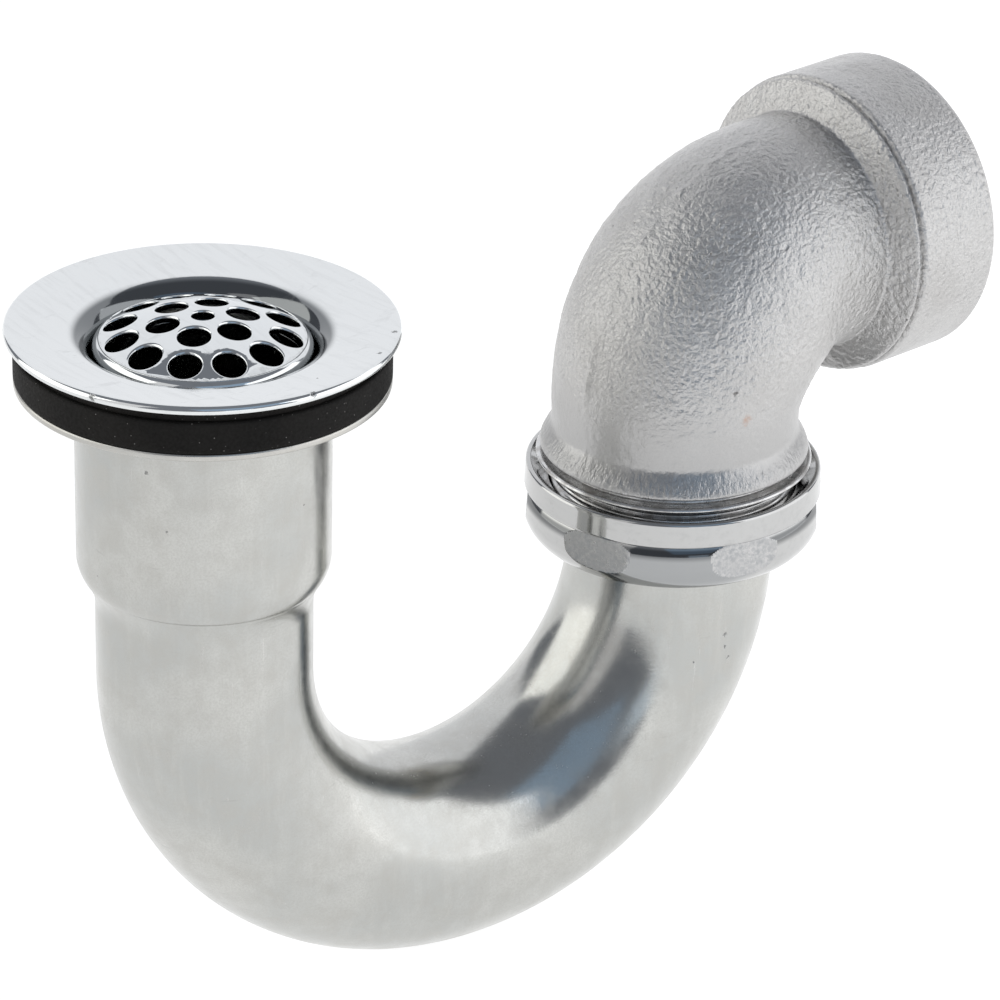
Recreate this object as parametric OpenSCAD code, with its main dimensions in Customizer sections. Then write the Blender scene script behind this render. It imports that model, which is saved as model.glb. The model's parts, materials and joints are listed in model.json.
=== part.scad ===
// P trap with a flanged strainer inlet, a one-piece J bend and a cast outlet elbow.
// The origin is the centre of the elbow's open end. +X is the way the waste pipe leaves,
// and +Z is up. All sizes are in millimetres.

/* [Trap tube] */
// Outside diameter of the bent tube
tube_d = 38.1; // [37.5:0.1:38.5]
// Wall thickness of the bent tube
tube_wall = 1.2; // [0.9:0.1:1.4]
// Radius of the J bend, from its centre to the middle of the tube
bend_r = 49.6; // [48:0.1:60]
// Turn of the trap about its outlet leg, away from square to the wall
swivel = 8.6; // [-60:0.1:60]
// Length of the outlet leg that stands above the bend
leg_len = 26; // [24:0.5:27]

/* [Inlet cup] */
// Outside diameter of the expanded cup
cup_d = 44.4; // [44:0.1:46]
// Height of the cup's lower shoulder above the middle of the bend
cup_foot_h = 21.5; // [20:0.5:26]
// Height of the cone that joins the cup to the tube
cup_cone_h = 8; // [6:0.5:10]
// Height of the top of the cup's lip above the middle of the bend
lip_top_h = 56.4; // [52:0.1:60]
// Outside diameter of the lip
lip_d = 64.8; // [62:0.1:66]
// Thickness of the lip
lip_t = 1.3; // [1:0.1:2]
// Depth of the threaded sleeve inside the cup
sleeve_depth = 14; // [13:0.5:16]

/* [Gaskets] */
// Thickness of the basin gasket
gasket_t = 5.8; // [5:0.1:8]
// Hole in the basin gasket
gasket_hole_d = 45.8; // [45.6:0.1:48]
// Thickness of the seal ring under the flange
seal_t = 1.9; // [1.9:0.1:3]
// Outside diameter of the seal ring
seal_d = 63.2; // [60:0.1:64]

/* [Strainer] */
// Outside diameter of the strainer's flange
flange_d = 67.9; // [66:0.1:70]
// Thickness of the flange and the bowl
flange_t = 1.7; // [1.5:0.1:1.8]
// Slope of the flange down to the bowl
flange_slope = 9; // [8:0.5:10]
// Radius of the rolled edge between the flange and the bowl
roll_r = 5.4; // [5:0.1:6]
// Inside radius of the bowl
bowl_r = 19; // [18.8:0.1:19.2]
// Radius of the domed grid's crown
dome_r = 40.2; // [36:0.1:50]
// Height of the dome above the flange
dome_rise = 1.4; // [0.5:0.1:3]
// Thickness of the grid
grid_t = 1.2; // [0.8:0.1:1.4]
// Diameter of the drain holes
hole_d = 5.7; // [4:0.1:5.8]
// Diameter of the middle drain hole
mid_hole_d = 3.9; // [3:0.1:4.5]

/* [Outlet elbow] */
// Distance from the trap's outlet leg to the elbow's open end
reach = 53; // [53:0.5:60]
// Height of the outlet above the middle of the bend
outlet_h = 53; // [52:0.5:58]
// Radius of the elbow's own bend
elbow_bend_r = 25.8; // [25:0.1:28]
// Outside radius of the elbow's body
elbow_r = 23; // [22.8:0.1:23.5]
// Outside radius of the outlet collar
collar_r = 28.1; // [27.5:0.1:30]
// Length of the outlet collar
collar_len = 19.2; // [18:0.1:20]
// Radius of the bore that takes the waste pipe
outlet_bore_r = 22.2; // [22:0.1:22.4]
// Depth of that bore
outlet_bore_len = 17; // [16:0.5:17]

/* [Slip nut] */
// Outside diameter of the nut
nut_d = 54.9; // [54:0.1:57]
// Height of the nut
nut_h = 13.9; // [13.5:0.1:14.5]
// Height of the nut's lower face above the middle of the bend
nut_foot_h = 1.4; // [1:0.1:2]
// Depth of the six wrench flats
flat_depth = 0.8; // [0.5:0.1:0.9]

/* [Hidden] */
$fn = 128;
eps = 0.01;

// Running gaps between pieces that move on each other
slide_gap = 0.25;
face_gap = 0.1;

tube_r = tube_d / 2;
tube_bore_r = tube_r - tube_wall;
cup_r = cup_d / 2;
cup_bore_r = cup_r - tube_wall;
cup_top_h = lip_top_h - lip_t;

// Threads are rings of the true pitch, and they keep clear of each other. A groove's
// mouth and its flat root are shares of the pitch, each to one side of the middle.
groove_mouth = 0.34;
groove_root = 0.06;
slip_pitch = 2.2;
slip_thread_depth = 1.2;
slip_crest_r = 22.6;
slip_spigot_turns = 4;
slip_nut_turns = 2;
strainer_pitch = 1.4;
strainer_thread_depth = 0.5;
strainer_turns = 7;

// Strainer heights, from the lip upwards
gasket_top_h = lip_top_h + gasket_t;
flange_under_h = gasket_top_h + seal_t;
flange_top_h = flange_under_h + flange_t;
flange_r = flange_d / 2;
flange_edge_r = flange_t / 2;
roll_x = bowl_r + roll_r;
plate_rise = roll_r - flange_edge_r;
plate_len = (flange_r - flange_edge_r - roll_x + plate_rise * sin(flange_slope))
    / cos(flange_slope);
roll_h = flange_top_h - flange_edge_r - plate_len * sin(flange_slope)
    - plate_rise * cos(flange_slope);
neck_r = bowl_r + flange_t;
sleeve_crest_r = cup_bore_r - 2 * strainer_thread_depth;
shank_crest_r = sleeve_crest_r - slide_gap;
shank_wall = 2;
shank_bore_r = shank_crest_r - shank_wall;
shank_top_h = lip_top_h + 0.6;
shank_len = 11;
shank_lead = 0.4;
ledge_h = roll_h - 0.8;
seal_hole_r = roll_x + 0.2;
seal_roll_h = roll_h + (roll_r - flange_t) / cos(flange_slope) - face_gap;

// Domed grid: a crown that rolls over into a short upright skirt
skirt_r = bowl_r - 0.05;
rim_roll_r = 2.1;
crown_h = flange_top_h + dome_rise - dome_r;
rim_x = skirt_r - rim_roll_r;
rim_h = crown_h + sqrt(pow(dome_r - rim_roll_r, 2) - pow(rim_x, 2));
inner_holes = 6;
inner_ring_r = 7.15;
outer_holes = 12;
outer_ring_r = 14.4;
grid_turn = 39.4;

// Elbow levels, above the middle of the J bend
socket_r = tube_r + slide_gap;
elbow_foot_h = 7;
spigot_lead = 0.3;
mouth_chamfer = 1.7;
stop_ring_r = 25.4;
stop_ring_h = 16.6;
stop_ring_t = 0.8;
cast_foot_h = 18.7;
cast_foot_t = 0.7;
flare_r = 24.6;
flare_len = 4.5;
elbow_bend_h = outlet_h - elbow_bend_r;
passage_r = 17.8;
collar_back = reach - collar_len;
bead_r = collar_r - 0.4;
bead_len = 3;
bead_face_len = 2.4;
collar_rim_r = 1.5;
socket_len = elbow_bend_h - elbow_foot_h;

// Nut, counted from its lower face
nut_r = nut_d / 2;
nut_hole_r = tube_r + 1.25;
nut_shelf_t = 1.8;
nut_crest_r = slip_crest_r + slide_gap;
nut_cavity_r = nut_crest_r + 0.2;
nut_cavity_h = 5.2;
nut_thread_lead = 0.6;
nut_belly_h = 4.9;
nut_belly_low_r = 6;
nut_belly_top_r = 10;
nut_band_h = 9;
nut_band_r = nut_r - 0.15;
nut_chamfer = 0.3;
nut_mouth_r = 26.2;
flat_count = 6;
flat_tilt = 3;
flat_turn = 16;
ring_foot_h = nut_foot_h + nut_shelf_t;
ring_t = 1.2;
washer_foot_h = ring_foot_h + ring_t;
washer_t = elbow_foot_h - face_gap - washer_foot_h;
washer_nose = 1.2;

// ---- Places ----

// The foot of the elbow's vertical leg, level with the middle of the J bend
module at_outlet_leg() translate([-reach, 0, -outlet_h]) children();

// The trap turns about the outlet leg
module at_trap() at_outlet_leg() rotate([0, 0, -swivel]) children();

module at_inlet_leg() at_trap() translate([-2 * bend_r, 0, 0]) children();

// From the foot of the outlet leg to the outlet's axis, which then points along Z
module along_outlet() translate([0, 0, outlet_h]) rotate([0, 90, 0]) children();

// ---- Shared shapes ----

module ring(r_out, r_in, z_low, z_high) {
    translate([0, 0, z_low]) difference() {
        cylinder(h = z_high - z_low, r = r_out);
        translate([0, 0, -eps]) cylinder(h = z_high - z_low + 2 * eps, r = r_in);
    }
}

// A row of V-shaped rings that cut from radius crest_r to depth, outwards or inwards
module groove_rings(crest_r, depth, pitch, z_low, count, side) {
    mouth = pitch * groove_mouth;
    root = pitch * groove_root;
    for (i = [0 : count - 1]) {
        translate([0, 0, z_low + pitch * (i + 0.5)]) rotate_extrude() polygon([
            [crest_r - side * eps, -mouth],
            [crest_r + side * depth, -root],
            [crest_r + side * depth, root],
            [crest_r - side * eps, mouth]
        ]);
    }
}

// ---- Trap body ----

module tube_path(r, cup_inside_r, extra) {
    translate([-bend_r, 0, 0]) rotate([-90, 0, 0])
        rotate_extrude(angle = 180) translate([bend_r, 0]) circle(r = r);
    cylinder(h = leg_len + extra, r = r);
    translate([-2 * bend_r, 0, 0]) {
        cylinder(h = cup_foot_h - cup_cone_h, r = r);
        translate([0, 0, cup_foot_h - cup_cone_h])
            cylinder(h = cup_cone_h, r1 = r, r2 = cup_inside_r);
        translate([0, 0, cup_foot_h])
            cylinder(h = cup_top_h - cup_foot_h + extra, r = cup_inside_r);
    }
}

module trap_bend() {
    color("lightgray") at_trap() difference() {
        tube_path(tube_r, cup_r, 0);
        tube_path(tube_bore_r, cup_bore_r, 1);
    }
}

module inlet_collar() {
    sleeve_foot_h = lip_top_h - sleeve_depth;
    color("silver") at_inlet_leg() difference() {
        union() {
            ring(lip_d / 2, sleeve_crest_r, cup_top_h, lip_top_h);
            ring(cup_bore_r, sleeve_crest_r, sleeve_foot_h, cup_top_h + eps);
        }
        groove_rings(sleeve_crest_r, strainer_thread_depth, strainer_pitch,
                     sleeve_foot_h + strainer_pitch, strainer_turns, 1);
    }
}

module basin_gasket() {
    color("dimgray") at_inlet_leg()
        ring(lip_d / 2, gasket_hole_d / 2, lip_top_h, gasket_top_h);
}

// ---- Strainer ----

module flange_seal() {
    seal_r = seal_d / 2;
    slope = tan(flange_slope);
    color("black") at_inlet_leg() rotate_extrude() polygon([
        [seal_hole_r, gasket_top_h],
        [seal_r, gasket_top_h],
        [seal_r, seal_roll_h + (seal_r - roll_x) * slope],
        [seal_hole_r, seal_roll_h + (seal_hole_r - roll_x) * slope]
    ]);
}

// Half section of the flange, its rolled edge, the bowl and the threaded shank
module strainer_section() {
    translate([roll_x, roll_h]) {
        rotate(flange_slope) {
            translate([0, roll_r - flange_t]) square([plate_len, flange_t]);
            translate([plate_len, plate_rise]) circle(r = flange_edge_r);
        }
        intersection() {
            difference() {
                circle(r = roll_r);
                circle(r = roll_r - flange_t);
            }
            translate([-roll_r, 0]) square([roll_r, roll_r]);
            rotate(flange_slope) translate([-roll_r, 0]) square([roll_r, roll_r]);
        }
    }
    translate([bowl_r, shank_top_h]) square([flange_t, roll_h - shank_top_h]);
    translate([shank_bore_r, shank_top_h])
        square([neck_r - shank_bore_r, ledge_h - shank_top_h]);
    translate([shank_bore_r, shank_top_h - shank_len])
        square([shank_crest_r - shank_bore_r, shank_len]);
}

module strainer_flange() {
    color("gainsboro") at_inlet_leg() difference() {
        rotate_extrude() strainer_section();
        groove_rings(shank_crest_r, strainer_thread_depth, strainer_pitch,
                     shank_top_h - shank_len + shank_lead, strainer_turns, -1);
    }
}

// Half section of the grid's sheet, at a depth below its top face
module grid_section(depth) {
    difference() {
        union() {
            intersection() {
                translate([0, crown_h]) circle(r = dome_r - depth);
                polygon([[0, crown_h], [rim_x * 2, crown_h + (rim_h - crown_h) * 2],
                         [0, crown_h + dome_r * 2]]);
            }
            translate([rim_x, rim_h]) circle(r = rim_roll_r - depth);
            translate([0, ledge_h - depth])
                square([skirt_r - depth, rim_h - ledge_h + depth]);
            translate([0, ledge_h - depth]) square([rim_x, rim_h - ledge_h + depth]);
        }
        translate([-dome_r, crown_h - dome_r]) square([dome_r, dome_r * 3]);
        translate([-eps, crown_h - dome_r])
            square([dome_r * 2, ledge_h - depth - crown_h + dome_r]);
    }
}

module drain_hole(ring_r, angle, d) {
    rotate([0, 0, angle]) translate([ring_r, 0, ledge_h])
        cylinder(h = dome_r, d = d);
}

module strainer_grid() {
    color("whitesmoke") at_inlet_leg() rotate([0, 0, swivel + grid_turn]) difference() {
        rotate_extrude() difference() {
            grid_section(0);
            grid_section(grid_t);
        }
        drain_hole(0, 0, mid_hole_d);
        for (i = [0 : inner_holes - 1]) {
            drain_hole(inner_ring_r, i * 360 / inner_holes, hole_d);
        }
        for (i = [0 : outer_holes - 1]) {
            drain_hole(outer_ring_r, i * 360 / outer_holes, hole_d);
        }
    }
}

// ---- Slip joint ----

// Half section of the nut's outside, from its lower face at height zero: a round band
// over a belly that is made of two arcs
module nut_outline() {
    square([nut_r - nut_belly_low_r, nut_h]);
    intersection() {
        translate([nut_r - nut_belly_low_r, nut_belly_h]) circle(r = nut_belly_low_r);
        translate([nut_r - nut_belly_low_r, 0]) square([nut_belly_low_r, nut_belly_h]);
    }
    intersection() {
        translate([nut_r - nut_belly_top_r, nut_belly_h]) circle(r = nut_belly_top_r);
        translate([0, nut_belly_h]) square([nut_r, nut_band_h - nut_belly_h]);
    }
    polygon([[0, nut_band_h], [nut_band_r, nut_band_h], [nut_band_r, nut_h - nut_chamfer],
             [nut_band_r - nut_chamfer, nut_h], [0, nut_h]]);
}

module slip_nut() {
    color("silver") at_outlet_leg() translate([0, 0, nut_foot_h]) difference() {
        rotate_extrude() nut_outline();
        translate([0, 0, -1]) cylinder(h = nut_h + 2, r = nut_hole_r);
        translate([0, 0, nut_shelf_t]) cylinder(h = nut_h, r = nut_crest_r);
        translate([0, 0, nut_shelf_t])
            cylinder(h = nut_cavity_h - nut_shelf_t, r = nut_cavity_r);
        groove_rings(nut_crest_r, slip_thread_depth, slip_pitch,
                     nut_cavity_h + nut_thread_lead, slip_nut_turns, 1);
        translate([0, 0, nut_h - nut_mouth_r + nut_crest_r])
            cylinder(h = nut_mouth_r - nut_crest_r, r1 = nut_crest_r, r2 = nut_mouth_r);
        for (i = [0 : flat_count - 1]) {
            rotate([0, 0, flat_turn + i * 360 / flat_count])
                translate([nut_r - flat_depth, 0, nut_belly_h]) rotate([0, flat_tilt, 0])
                    translate([0, -nut_r, -nut_h])
                        cube([nut_r, nut_d, nut_h + nut_band_h - nut_belly_h]);
        }
    }
}

module friction_ring() {
    color("goldenrod") at_outlet_leg()
        ring(slip_crest_r, tube_r + slide_gap, ring_foot_h, ring_foot_h + ring_t);
}

module slip_washer() {
    washer_r = slip_crest_r - face_gap;
    nose_r = socket_r + mouth_chamfer - slide_gap;
    color("black") at_outlet_leg() translate([0, 0, washer_foot_h]) rotate_extrude() polygon([
        [tube_r, 0],
        [washer_r, 0],
        [washer_r, washer_t],
        [nose_r, washer_t],
        [nose_r - washer_nose, washer_t + washer_nose],
        [tube_r, washer_t + washer_nose]
    ]);
}

// ---- Outlet elbow ----

module quarter_bend(r) {
    translate([elbow_bend_r, 0, elbow_bend_h]) mirror([1, 0, 0]) rotate([90, 0, 0])
        rotate_extrude(angle = 90) translate([elbow_bend_r, 0]) circle(r = r);
}

// Half section of the sloping bead and the collar behind the outlet's open end
module collar_section() {
    polygon([[0, collar_back - bead_len], [elbow_r, collar_back - bead_len],
             [bead_r, collar_back - bead_len + bead_face_len], [bead_r, collar_back],
             [0, collar_back]]);
    difference() {
        translate([0, collar_back]) square([collar_r, collar_len]);
        difference() {
            translate([collar_r - collar_rim_r, reach - collar_rim_r])
                square([collar_rim_r + 1, collar_rim_r + 1]);
            translate([collar_r - collar_rim_r, reach - collar_rim_r])
                circle(r = collar_rim_r);
        }
    }
}

module elbow_outside() {
    translate([0, 0, elbow_foot_h]) cylinder(h = cast_foot_h - elbow_foot_h, r = slip_crest_r);
    translate([0, 0, stop_ring_h]) cylinder(h = stop_ring_t, r = stop_ring_r);
    translate([0, 0, cast_foot_h]) cylinder(h = cast_foot_t, r = flare_r);
    translate([0, 0, cast_foot_h + cast_foot_t])
        cylinder(h = flare_len, r1 = flare_r, r2 = elbow_r);
    translate([0, 0, cast_foot_h]) cylinder(h = elbow_bend_h - cast_foot_h, r = elbow_r);
    quarter_bend(elbow_r);
    along_outlet() {
        translate([0, 0, elbow_bend_r]) cylinder(h = collar_back - elbow_bend_r, r = elbow_r);
        rotate_extrude() collar_section();
    }
}

module elbow_inside() {
    translate([0, 0, elbow_foot_h - eps]) cylinder(h = socket_len + eps, r = socket_r);
    translate([0, 0, elbow_foot_h - eps])
        cylinder(h = mouth_chamfer + eps, r1 = socket_r + mouth_chamfer, r2 = socket_r);
    quarter_bend(passage_r);
    along_outlet() {
        translate([0, 0, elbow_bend_r]) cylinder(h = reach - elbow_bend_r, r = passage_r);
        translate([0, 0, reach - outlet_bore_len])
            cylinder(h = outlet_bore_len + eps, r = outlet_bore_r);
    }
}

module wall_elbow() {
    color("darkgray") at_outlet_leg() difference() {
        elbow_outside();
        elbow_inside();
        groove_rings(slip_crest_r, slip_thread_depth, slip_pitch,
                     elbow_foot_h + spigot_lead, slip_spigot_turns, -1);
    }
}

wall_elbow();
slip_nut();
friction_ring();
slip_washer();
trap_bend();
inlet_collar();
basin_gasket();
flange_seal();
strainer_flange();
strainer_grid();
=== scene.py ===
"""The looks of a p trap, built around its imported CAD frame.

Every piece is a ring mesh: an outline in (distance along a path, radius) swept around a
straight or bent path, or, for the domed grid, a sheet cut by its drain holes. Lengths are
in millimetres until a mesh is made, and places come from the frame's boxes and joints.
"""

import json
import math

import bpy
import numpy as np
from mathutils import Matrix, Vector, noise
from mathutils.geometry import delaunay_2d_cdt


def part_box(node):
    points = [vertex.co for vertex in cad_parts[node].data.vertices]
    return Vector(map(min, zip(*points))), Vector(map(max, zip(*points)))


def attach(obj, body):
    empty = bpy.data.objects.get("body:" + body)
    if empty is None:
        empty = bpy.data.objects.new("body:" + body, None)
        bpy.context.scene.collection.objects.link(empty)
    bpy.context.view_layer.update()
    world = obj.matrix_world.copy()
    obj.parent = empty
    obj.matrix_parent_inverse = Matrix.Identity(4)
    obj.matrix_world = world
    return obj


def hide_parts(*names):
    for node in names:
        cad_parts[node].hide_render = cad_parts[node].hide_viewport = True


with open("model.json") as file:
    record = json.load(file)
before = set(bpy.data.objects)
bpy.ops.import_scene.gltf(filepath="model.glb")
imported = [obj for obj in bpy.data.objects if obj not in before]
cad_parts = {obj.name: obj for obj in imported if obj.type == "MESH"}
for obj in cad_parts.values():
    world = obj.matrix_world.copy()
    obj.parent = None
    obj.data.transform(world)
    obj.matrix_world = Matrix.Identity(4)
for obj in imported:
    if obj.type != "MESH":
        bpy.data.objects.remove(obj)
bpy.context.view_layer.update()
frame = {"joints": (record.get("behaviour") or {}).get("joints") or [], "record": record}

MM = 0.001
SEGMENTS = 160

# ---- Places from the frame, in millimetres ----

joints = {joint["name"]: joint for joint in frame["joints"]}
leg_x, leg_y = (c / MM for c in joints["trap_swivel"]["pos_m"][:2])
inlet_x, inlet_y = (c / MM for c in joints["strainer_turn"]["pos_m"][:2])
trap_turn = math.atan2(leg_y - inlet_y, leg_x - inlet_x)


def low_z(node):
    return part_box(node)[0].z / MM


def high_z(node):
    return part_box(node)[1].z / MM


def outer_r(node):
    low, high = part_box(node)
    return (high.x - low.x) / MM / 2


# ---- Trap sizes ----

tube_r = 19.05
tube_wall = 1.2
bend_r = math.hypot(leg_x - inlet_x, leg_y - inlet_y) / 2
bend_z = low_z("trap_bend") + bend_r + tube_r
outlet_leg_len = 26
cup_r = 22.2
cup_top_z = high_z("trap_bend")
shoulder_top = 22.5
shoulder_edge = 18.3
shoulder_foot = 13.0
lip_z = high_z("inlet_collar")
lip_t = lip_z - cup_top_z
lip_r = outer_r("inlet_collar")
sleeve_z = low_z("inlet_collar")
sleeve_r = cup_r - tube_wall

# ---- Strainer sizes ----

flange_z = high_z("strainer_flange")
flange_r = outer_r("strainer_flange") - 0.005
flange_t = 1.7
flange_slope = math.radians(9)
roll_r = 5.4
bowl_r = 19.0
shank_foot_z = low_z("strainer_flange")
shank_r = 19.75
strainer_pitch = 1.4
strainer_groove = 0.5
dome_r = 40.2
dome_z = high_z("strainer_grid")
dome_foot_z = low_z("strainer_grid")
grid_t = 1.2
grid_turn = math.radians(39.4)
grid_around = 180
centre_hole_r = 1.95
hole_r = 2.85
hole_rings = ((6, 7.15), (12, 14.4))
rim_round = 0.40

# ---- Slip joint and elbow sizes ----

nut_z = low_z("slip_nut")
nut_h = high_z("slip_nut") - nut_z
nut_r = 27.45
nut_bore_r = 20.3
slip_pitch = 2.2
slip_groove = 1.2
slip_crest_r = 22.6
flat_turn = math.radians(16)
elbow_foot = low_z("wall_elbow") - bend_z
elbow_rise = -bend_z
elbow_reach = -leg_x
elbow_bend_r = 25.8
socket_rise = elbow_rise - elbow_bend_r - elbow_foot
collar_r = high_z("wall_elbow") - 0.001
socket_r = 19.3
passage_r = 17.8
cast_foot = 11.7
outlet_bore_r = frame["record"]["mounts"][0]["dims"]["r_mm"]
outlet_bore_len = frame["record"]["mounts"][0]["dims"]["length_mm"]

# ---- Frames for the meshes, with their origins level with the middle of the J bend ----

leg_place = Matrix.Translation((leg_x, leg_y, bend_z))
inlet_place = Matrix.Translation((inlet_x, inlet_y, bend_z))
trap_place = leg_place @ Matrix.Rotation(trap_turn, 4, "Z")


def at(z):
    """A height in the row's frame as a height above the middle of the J bend."""
    return z - bend_z


# ---- Outlines ----


def rounded(corners, steps=6):
    """A closed outline of (along, radius) points from corners (along, radius, fillet)."""
    points = []
    count = len(corners)
    for i, (x, y, fillet) in enumerate(corners):
        here = Vector((x, y))
        back = (Vector(corners[i - 1][:2]) - here).normalized()
        ahead = (Vector(corners[(i + 1) % count][:2]) - here).normalized()
        if fillet <= 0:
            points.append(here)
            continue
        half = math.acos(max(-1, min(1, back.dot(ahead)))) / 2
        centre = here + (back + ahead).normalized() * fillet / math.sin(half)
        start = here + back * fillet / math.tan(half) - centre
        end = here + ahead * fillet / math.tan(half) - centre
        turn = start.angle_signed(end)
        for k in range(steps + 1):
            spun = start.copy()
            spun.rotate(Matrix.Rotation(-turn * k / steps, 2))
            points.append(centre + spun)
    return np.array([tuple(p) for p in points])


def finer(outline, step):
    """The same closed outline with no stretch longer than step."""
    points = []
    for here, there in zip(outline, np.roll(outline, -1, axis=0)):
        pieces = max(1, math.ceil(np.linalg.norm(there - here) / step))
        points += [here + (there - here) * k / pieces for k in range(pieces)]
    return np.array(points)


def smoothstep(x, low, high):
    """0 below low, 1 above high and an eased rise between them."""
    t = np.clip((x - low) / (high - low), 0, 1)
    return t * t * (3 - 2 * t)


def thread(along, theta, pitch, start, end):
    """0 at a helical thread's crest and 1 at its root, faded out at both ends. It is
    right-handed where the angles run anticlockwise, seen from above."""
    turn = np.mod(along / pitch - theta / (2 * math.pi), 1)
    root = 1 - np.abs(2 * turn - 1)
    fade = smoothstep(along, start, start + pitch) * (1 - smoothstep(along, end - pitch, end))
    return smoothstep(root, 0.15, 0.85) * fade


# ---- Paths: a point and the two directions across it, at a distance along ----


def straight(s):
    """Straight up. Zero is level with the bend."""
    s = np.asarray(s, float)
    point = np.stack([0 * s, 0 * s, s], -1)
    across = np.broadcast_to([1.0, 0, 0], point.shape)
    side = np.broadcast_to([0, 1.0, 0], point.shape)
    return point, across, side


def j_path(s):
    """Down the inlet leg, around the J bend and up the outlet leg. Zero is level with the bend."""
    s = np.asarray(s, float)
    a = np.clip(s / bend_r, 0, math.pi)
    over = s - a * bend_r
    point = np.stack([-bend_r - bend_r * np.cos(a), 0 * s, -bend_r * np.sin(a)], -1)
    ahead = np.stack([np.sin(a), 0 * s, -np.cos(a)], -1)
    across = np.stack([-np.cos(a), 0 * s, -np.sin(a)], -1)
    return point + ahead * over[..., None], across, np.broadcast_to([0, 1.0, 0], point.shape)


def elbow_path(s):
    """Up the socket, around the elbow's bend and out along +X. Zero is the elbow's foot.
    Its angles run clockwise, seen along the path, so thread() is left-handed on it, where a
    real elbow's threads and this nut's are right-handed."""
    s = np.asarray(s, float)
    a = np.clip((s - socket_rise) / elbow_bend_r, 0, math.pi / 2)
    over = s - socket_rise - a * elbow_bend_r
    ahead = np.stack([np.sin(a), 0 * s, np.cos(a)], -1)
    across = np.stack([-np.cos(a), 0 * s, np.sin(a)], -1)
    point = np.stack([elbow_bend_r * (1 - np.cos(a)), 0 * s,
                      elbow_foot + socket_rise + elbow_bend_r * np.sin(a)], -1)
    return point + ahead * over[..., None], across, np.broadcast_to([0, 1.0, 0], point.shape)


elbow_len = socket_rise + elbow_bend_r * math.pi / 2 + (elbow_reach - elbow_bend_r)

# ---- Meshes ----


def add_mesh(name, verts, faces, place, materials, pick=None):
    """A smooth closed mesh from millimetre points, with normals outwards."""
    mesh = bpy.data.meshes.new(name)
    world = [tuple(place @ Vector(v) * MM) for v in verts]
    mesh.from_pydata(world, [], faces)
    for material in materials:
        mesh.materials.append(material)
    mesh.polygons.foreach_set("use_smooth", [True] * len(mesh.polygons))
    if pick is not None:
        mesh.polygons.foreach_set("material_index", pick)
    if signed_volume(mesh) < 0:
        mesh.flip_normals()
    mesh.update()
    piece = bpy.data.objects.new(name, mesh)
    bpy.context.scene.collection.objects.link(piece)
    return piece


def signed_volume(mesh):
    """Six times the mesh's volume, below zero where its faces point inwards."""
    mesh.calc_loop_triangles()
    co = np.zeros(len(mesh.vertices) * 3)
    mesh.vertices.foreach_get("co", co)
    co = co.reshape(-1, 3)
    tri = np.zeros(len(mesh.loop_triangles) * 3, int)
    mesh.loop_triangles.foreach_get("vertices", tri)
    a, b, c = (co[tri.reshape(-1, 3)[:, k]] for k in range(3))
    return float(np.einsum("ij,ij->i", a, np.cross(b, c)).sum())


def ring_faces(rings, around):
    """Quads between neighbouring rings, closed both around each ring and from last to first."""
    i, j = np.meshgrid(np.arange(rings), np.arange(around), indexing="ij")
    i2, j2 = (i + 1) % rings, (j + 1) % around
    quads = np.stack([i * around + j, i * around + j2, i2 * around + j2, i2 * around + j], -1)
    return quads.reshape(-1, 4).tolist()


def sweep(name, outline, place, materials, path=straight, around=SEGMENTS, shape=None,
          pick=None):
    """Sweeps a closed outline of (along, radius) around a path. shape gives each point's
    radius from (along, radius, angle), and pick each face's material from the same."""
    along = outline[:, :1]
    theta = np.arange(around)[None, :] * 2 * math.pi / around
    radius = np.repeat(outline[:, 1:], around, axis=1)
    if shape is not None:
        radius = shape(along, radius, theta)
    point, across, side = path(outline[:, 0])
    verts = (point[:, None] + radius[..., None] * (np.cos(theta)[..., None] * across[:, None]
             + np.sin(theta)[..., None] * side[:, None])).reshape(-1, 3)
    chosen = None if pick is None else pick(along, radius, theta).astype(int).ravel()
    return add_mesh(name, verts, ring_faces(len(outline), around), place, materials, chosen)


def rough_noise(verts, size, octaves=3, seed=0.0):
    """Smooth noise of about that feature size, in millimetres, at each point."""
    shift = Vector((seed, seed * 2, -seed))
    return np.array([noise.fractal(Vector(v) / size + shift, 1.0, 2.0, octaves) for v in verts])


# ---- Materials ----

wobble_size = 0.5556
wobble_reach = 1.6


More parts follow.
